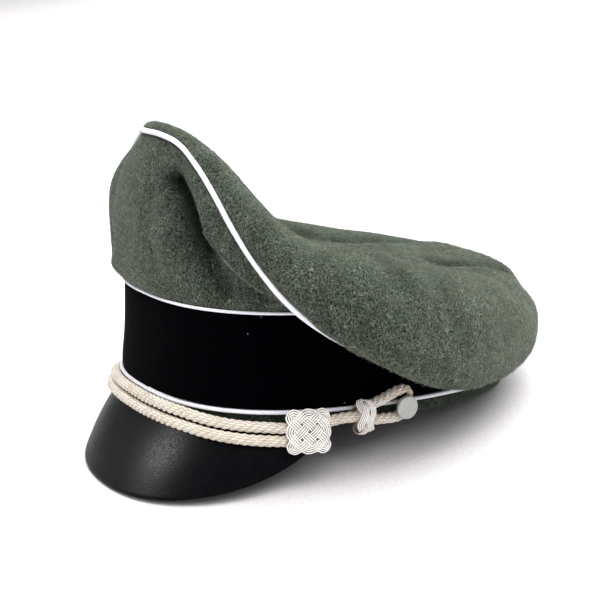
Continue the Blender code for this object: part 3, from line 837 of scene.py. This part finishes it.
def pillow_core(name, place, half):
    # A rounded block fills the middle of the knot, a little inside the yarns
    bpy.ops.object.select_all(action="DESELECT")
    bpy.ops.mesh.primitive_cube_add(size=2.0)
    core = bpy.context.object
    core.name = name
    bpy.ops.object.mode_set(mode="EDIT")
    bpy.ops.mesh.select_all(action="SELECT")
    bpy.ops.mesh.subdivide(number_cuts=CORE_CUTS)
    bpy.ops.transform.tosphere(value=CORE_ROUNDNESS)
    bpy.ops.transform.resize(value=[h * MM for h in half])
    bpy.ops.object.mode_set(mode="OBJECT")
    core.matrix_world = place
    finer = core.modifiers.new("finer", "SUBSURF")
    finer.levels = finer.render_levels = 1
    apply_all(core)
    bpy.ops.object.shade_smooth()
    core.data.materials.append(core_cotton)
    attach(core, "root")


print("left large knot at", [round(1000 * v, 1) for v in knot_place(*LARGE_KNOT_PLACE, 1).translation])

# %% [markdown]
# The mat is a lattice. Every strand goes round a slanted rectangle inside the square, so it runs
# along the two diagonals by turns, and the two directions take turns on top from crossing to
# crossing. The product of two sines changes its sign in just that way.

# %% Large knots
KNOT_HALF_LENGTH = 11.25
KNOT_HALF_HEIGHT = 11.0
KNOT_FRONT = 3.1
KNOT_DROP = 2.6
MAT_LOOPS = 3
MAT_REACH_X = 9.3
MAT_REACH_Z = 9.1
MAT_POINTS = 160
MAT_YARNS = 4
MAT_SPACING = 1.1
MAT_YARN_RADIUS = 0.48
MAT_TIGHTEST = 2.2
WEAVE_LIFT = 0.7
CROWN_LIFT = 0.25
CORE_SHARE = 0.78
CORE_HALF_THICK = 1.9


def mat_strand(phase):
    # One closed strand of the mat, with its height above or below the middle of the weave
    path, heights = [], []
    for i in range(MAT_POINTS):
        t = math.tau * i / MAT_POINTS
        x, z = swing(t + phase), swing(t)
        leaning = math.cos(t + phase) * math.cos(t)
        pitch = 0.5 * math.pi * MAT_LOOPS
        weave = math.sin(pitch * (x + z)) * math.sin(pitch * (x - z))
        path.append(Vector((MAT_REACH_X * x, MAT_REACH_Z * z)))
        heights.append(weave * max(-1.0, min(1.0, 6.0 * leaning)))
    return path, heights


strands = [mat_strand(math.pi * (2 * k + 1) / (2 * MAT_LOOPS)) for k in range(MAT_LOOPS)]
print("strands in the mat:", len(strands))

for side_name, sign in (("left", 1), ("right", -1)):
    place = knot_place(*LARGE_KNOT_PLACE, sign)

    def on_pillow(flat, height, crown, place=place):
        edge = (abs(flat.x) / KNOT_HALF_LENGTH) ** 4 + (abs(flat.y) / KNOT_HALF_HEIGHT) ** 4
        front = KNOT_FRONT - KNOT_DROP * min(edge, 1.3) + WEAVE_LIFT * height + CROWN_LIFT * crown
        return place @ (Vector((flat.x, -front, flat.y)) * MM)

    mat = yarn_band("large_knot_%s_yarns" % side_name, strands, MAT_YARNS, MAT_SPACING, MAT_YARN_RADIUS,
                    MAT_TIGHTEST, on_pillow)
    dress(mat, knot_cotton, ["large_knot_%s" % side_name])
    pillow_core("large_knot_%s_core" % side_name, place,
                (KNOT_HALF_LENGTH * CORE_SHARE, CORE_HALF_THICK, KNOT_HALF_HEIGHT * CORE_SHARE))

# %% [markdown]
# The small knot is the same kind of weave closed into a ring round the cords: its path goes three
# times round while it swings four times from edge to edge. It is laid out flat as a washer first.

# %% Small knots
RING_TURNS = 3
RING_SWINGS = 4
RING_REACH = 3.4
RING_POINTS = 330
RING_HALF_THICK = 3.9
RING_HALF_HEIGHT = 7.6
WASHER_RADIUS = 20.0
RING_YARNS = 4
RING_SPACING = 0.92
RING_YARN_RADIUS = 0.41
RING_TIGHTEST = 1.6
RING_SEAT = 0.6
RING_BULGE = 1.1
RING_BULGE_REACH = 5.0
RING_LIFT = 0.6
RING_CROWN_LIFT = 0.2
RING_CORE = (3.0, 3.2, 6.9)

washer, ring_heights = [], []
for i in range(RING_POINTS):
    t = math.tau * i / RING_POINTS
    round_angle = RING_TURNS * t
    reach = WASHER_RADIUS + RING_REACH * swing(RING_SWINGS * t)
    washer.append(Vector((math.cos(round_angle), math.sin(round_angle))) * reach)
    # It crosses itself twice on every swing, and is over and under in turn
    ring_heights.append(math.sin(2.0 * RING_SWINGS * t))
print("small knot path points:", len(washer))

for side_name, sign in (("left", 1), ("right", -1)):
    place = knot_place(*SMALL_KNOT_PLACE, sign)

    def on_ring(flat, height, crown, place=place):
        away = flat.length - WASHER_RADIUS
        round_angle = math.atan2(flat.y, flat.x)
        bulge = math.cos(min(abs(away) / RING_BULGE_REACH, 1.0) * math.pi / 2)
        swell = RING_BULGE * bulge + RING_LIFT * height + RING_CROWN_LIFT * crown - RING_SEAT
        return place @ (Vector((away, -(RING_HALF_THICK + swell) * math.sin(round_angle),
                                (RING_HALF_HEIGHT + swell) * math.cos(round_angle))) * MM)

    ring = yarn_band("small_knot_%s_yarns" % side_name, [(washer, ring_heights)], RING_YARNS, RING_SPACING,
                     RING_YARN_RADIUS, RING_TIGHTEST, on_ring)
    dress(ring, knot_cotton, ["small_knot_%s" % side_name])
    pillow_core("small_knot_%s_core" % side_name, place, RING_CORE)

# %% [markdown]
# ## Frosted buttons
# Each side button is a small pressed disc with a frosted, matt silver face, a rounded edge and a
# shank behind. A disc is added with many sides, its rim is bevelled and its face is inset to leave
# a faint raised border.

# %% Buttons
BUTTON_ANGLE = 88.5
BUTTON_UP = -1.0
BUTTON_RADIUS = 6.1
BUTTON_BACK_OUT = 6.6
BUTTON_THICKNESS = 2.2
BUTTON_EDGE = 0.7
SHANK_RADIUS = 1.7
SHANK_LENGTH = 5.7
BORDER_WIDTH = 1.0
BORDER_HEIGHT = 0.12

# Etched aluminium: a metal, but so finely roughened that it only looks pale grey
frosted, surface, add, place = new_material("frosted_aluminium", Metallic=0.65, Roughness=0.55)
etching = add(NOISE, {"Scale": scale_for(0.9), "Detail": 3.0, "Roughness": 0.6}, {"Vector": place})
pits = add(NOISE, {"Scale": scale_for(0.35), "Detail": 1.0, "Roughness": 0.6}, {"Vector": place})
frost = add(RAMP, {"stops": ((0.35, "#aaaca6"), (0.65, "#bbbbb6"))}, {"Fac": etching})
raised = add(BUMP, {"Distance": 0.06 * MM, "Strength": 0.4}, {"Height": pits})
connect(surface, Base_Color=frost, Normal=raised)


def select_faces(piece, wanted):
    # Chosen in object mode, by the face's own normal and centre
    for face in piece.data.polygons:
        face.select = wanted(face)
    for edge in piece.data.edges:
        edge.select = False
    for vertex in piece.data.vertices:
        vertex.select = False


def frosted_button(name, place):
    bpy.ops.object.select_all(action="DESELECT")
    bpy.ops.mesh.primitive_cylinder_add(vertices=64, radius=BUTTON_RADIUS * MM, depth=BUTTON_THICKNESS * MM,
                                        location=(0.0, 0.0, (BUTTON_BACK_OUT + BUTTON_THICKNESS / 2) * MM))
    button = bpy.context.object
    button.name = name
    bpy.ops.object.transform_apply(location=True, rotation=True, scale=True)
    select_faces(button, lambda face: face.normal.z < -0.9)
    bpy.ops.object.mode_set(mode="EDIT")
    bpy.ops.mesh.inset(thickness=(BUTTON_RADIUS - SHANK_RADIUS) * MM)
    bpy.ops.mesh.extrude_region_move(TRANSFORM_OT_translate={"value": (0.0, 0.0, -SHANK_LENGTH * MM)})
    bpy.ops.object.mode_set(mode="OBJECT")
    select_faces(button, lambda face: face.normal.z > 0.9)
    bpy.ops.object.mode_set(mode="EDIT")
    bpy.ops.mesh.inset(thickness=BORDER_WIDTH * MM)
    bpy.ops.transform.translate(value=(0.0, 0.0, -BORDER_HEIGHT * MM))
    bpy.ops.object.mode_set(mode="OBJECT")
    edge = button.modifiers.new("edge", "BEVEL")
    edge.width = BUTTON_EDGE * MM
    edge.segments = 4
    edge.limit_method = "ANGLE"
    edge.angle_limit = math.radians(50)
    button.matrix_world = place
    apply_all(button)
    bpy.ops.object.shade_smooth_by_angle(angle=math.radians(35))
    return button


for side_name, sign in (("left", 1), ("right", -1)):
    turned = Euler((math.radians(90), 0.0, facing(sign * BUTTON_ANGLE))).to_matrix().to_4x4()
    place = rest @ Matrix.Translation(band_place(sign * BUTTON_ANGLE, 0.0, BUTTON_UP) * MM) @ turned
    button = frosted_button("side_button_%s" % side_name, place)
    dress(button, frosted, ["button_%s" % side_name])

# %% [markdown]
# ## Loose fibres on the wool
# Brushed wool is never clean at its outline: thousands of single fibres stand off it and a few pale
# ones lie across it. Each is a thin curved sliver a few millimetres long. They are scattered over
# the outer faces of the crown with a fixed seed, so that every run gives the same nap.

# %% Fibre material
# The same fleece, but each fibre has one shade, and the palest are almost white
fibre_wool, surface, add, place = new_material("loose_wool_fibre", Roughness=0.8, Sheen_Weight=0.3)
mixture = add(NOISE, {"Scale": scale_for(3.0), "Roughness": 0.8}, {"Vector": place})
FIBRE_SHADES = ((0.35, "#2f3931"), (0.5, "#626b5d"), (0.62, "#9b9b8d"), (0.75, "#dcdbd0"))
fibre_shades = add(RAMP, {"stops": FIBRE_SHADES}, {"Fac": mixture})
connect(surface, Base_Color=fibre_shades)
print("fibre material:", fibre_wool.name)

# %% Scatter the fibres
FIBRES = 14000
FIBRE_STEPS = 4
FIBRE_HALF_WIDTH = 0.05
FIBRE_LENGTHS = (1.2, 3.6)
FIBRE_LIFTS = (0.05, 0.7)
FIBRE_ROOT = 0.08
FIBRE_ARCH = 2.4
FIBRE_CURL = 0.5
FIBRE_TAPER = 0.6
# Fibres stand only where the cloth's painted fold shade is under this, so that pale fibres don't lighten it
PAINTED_SHADE_LIMIT = 0.3


def add_fibres(name, cloth, count, seed):
    dice = random.Random(seed)
    centre = rest @ Vector((0.0, 0.0, 0.06))
    painted_shade = cloth.data.attributes["fold_shade"].data
    faces = [face for face in cloth.data.polygons
             if face.normal.dot(face.center - centre) > 0 and painted_shade[face.vertices[0]].value < PAINTED_SHADE_LIMIT]
    total = sum(face.area for face in faces)
    curve = bpy.data.curves.new(name, "CURVE")
    curve.dimensions = "3D"
    curve.extrude = FIBRE_HALF_WIDTH * MM
    for face in faces:
        chance = count * face.area / total
        for _ in range(int(chance) + (dice.random() < chance % 1.0)):
            along = Vector([dice.gauss(0, 1) for _ in range(3)]).cross(face.normal).normalized()
            across = face.normal.cross(along)
            length = dice.uniform(*FIBRE_LENGTHS) * MM
            lift = dice.uniform(*FIBRE_LIFTS) * MM
            curl = dice.uniform(-1.0, 1.0) * length * FIBRE_CURL
            start = face.center + face.normal * FIBRE_ROOT * MM
            fibre = curve.splines.new("POLY")
            fibre.points.add(FIBRE_STEPS - 1)
            for k in range(FIBRE_STEPS):
                s = k / (FIBRE_STEPS - 1)
                rise = face.normal * lift * math.sin(FIBRE_ARCH * s)
                fibre.points[k].co = (*(start + along * length * s + across * curl * s * s + rise), 1.0)
                fibre.points[k].radius = 1.0 - FIBRE_TAPER * s
    nap = bpy.data.objects.new(name, curve)
    bpy.context.collection.objects.link(nap)
    select_only(nap)
    bpy.ops.object.convert(target="MESH")
    nap.data.materials.append(fibre_wool)
    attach(nap, "root")
    print(name, len(nap.data.polygons), "faces")


add_fibres("wool_side_nap", side, FIBRES, 11)
add_fibres("wool_top_nap", top, FIBRES * 2, 12)
